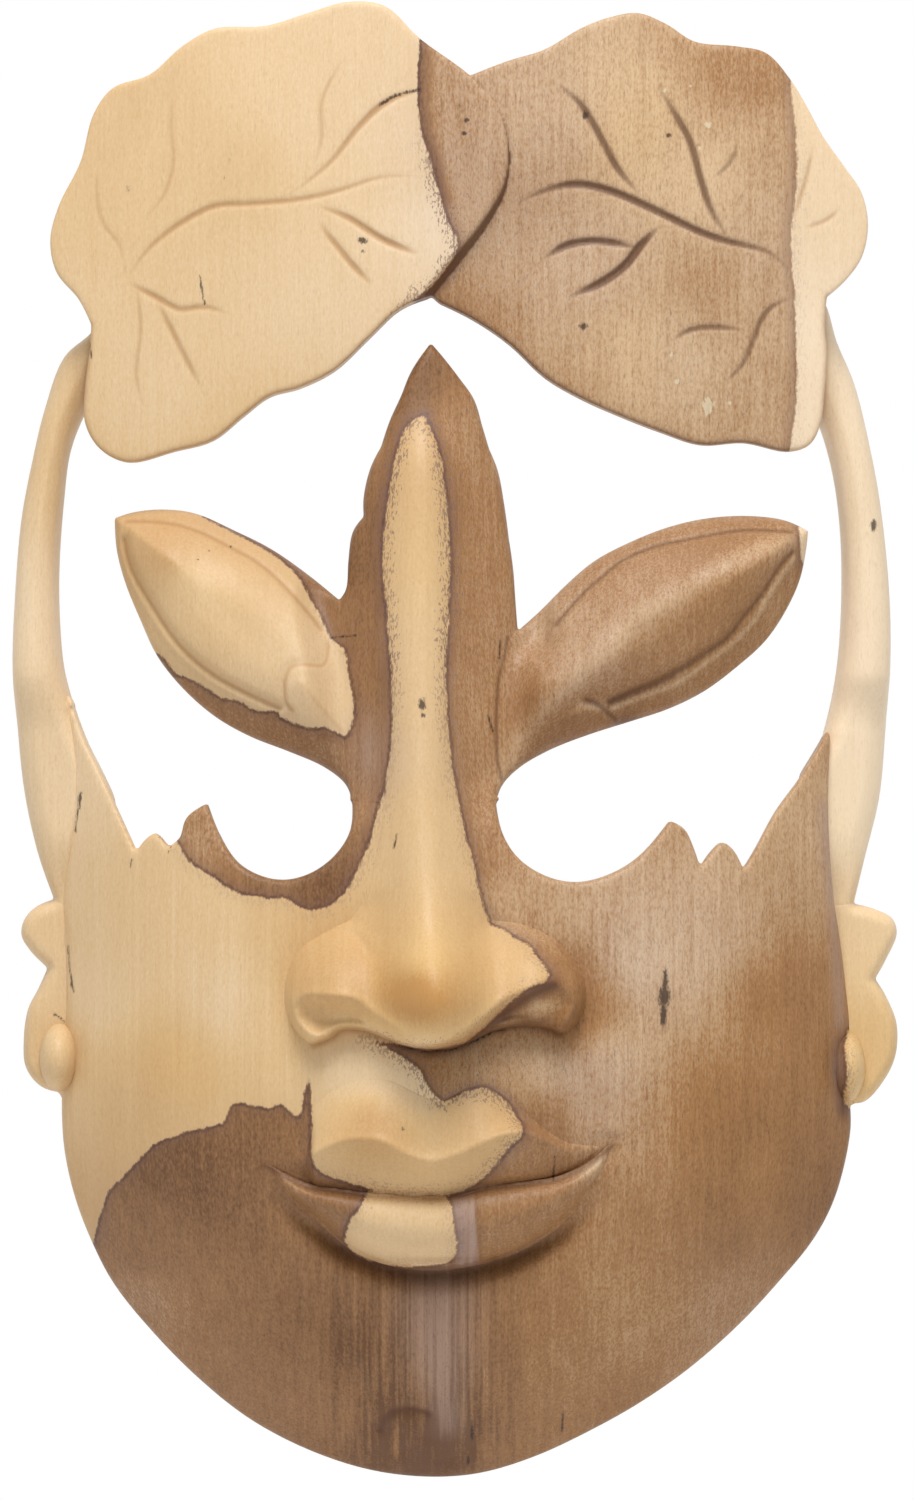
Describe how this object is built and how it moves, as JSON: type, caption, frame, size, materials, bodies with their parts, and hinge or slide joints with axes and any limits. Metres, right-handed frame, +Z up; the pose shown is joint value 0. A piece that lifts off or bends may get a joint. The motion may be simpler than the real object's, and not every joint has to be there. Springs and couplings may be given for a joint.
{
  "type": "carved mask",
  "caption": "Carved wooden wall mask: hollow-backed face with open eyes, nose and lips, leaf brow, pod eyelids, lapped leaf crown on side arms and a ring hanger.",
  "frame": {"origin": "the point where a wall hook bears inside the raised hanger ring, in the plane of the wall, on the mask's centre line", "axes": "+X to the viewer's right, +Y into the wall, +Z up; the face looks along -Y"},
  "size_m": [0.2053, 0.0758, 0.3397],
  "materials": {
    "sapwood": "satin, waxed carved sapwood",
    "heartwood": "satin, waxed carved heartwood",
    "two_tone_wood": "satin, waxed, part sapwood and part heartwood",
    "dowel_wood": "plain turned dowel",
    "hanger_brass": "satin"
  },
  "bodies": {
    "mask": {"face_shell": "two_tone_wood", "brow_leaf": "heartwood", "nose": "sapwood", "upper_lip": "sapwood", "lower_lip": "two_tone_wood", "left_eye_pod": "sapwood", "right_eye_pod": "heartwood", "left_side_arm": "sapwood", "right_side_arm": "sapwood", "left_crown_leaf": "sapwood", "right_crown_leaf": "heartwood", "left_ear": "sapwood", "right_ear": "sapwood", "left_ear_stud": "sapwood", "right_ear_stud": "sapwood", "crown_dowels": "dowel_wood", "crown_lap_dowels": "dowel_wood", "pod_dowels": "dowel_wood", "brow_dowels": "dowel_wood", "arm_dowels": "dowel_wood", "ear_dowels": "dowel_wood", "nose_dowels": "dowel_wood", "lip_dowels": "dowel_wood", "hanger_strap": "hanger_brass", "hanger_screws": "hanger_brass"},
    "ring": {"hanger_ring": "hanger_brass"}
  },
  "joints": [
    {"name": "ring_swing", "type": "hinge", "parent": "mask", "child": "ring", "pos_m": [0, -0.0134, -0.017], "axis": [1, 0, 0], "range_deg": [0, 180]}
  ]
}
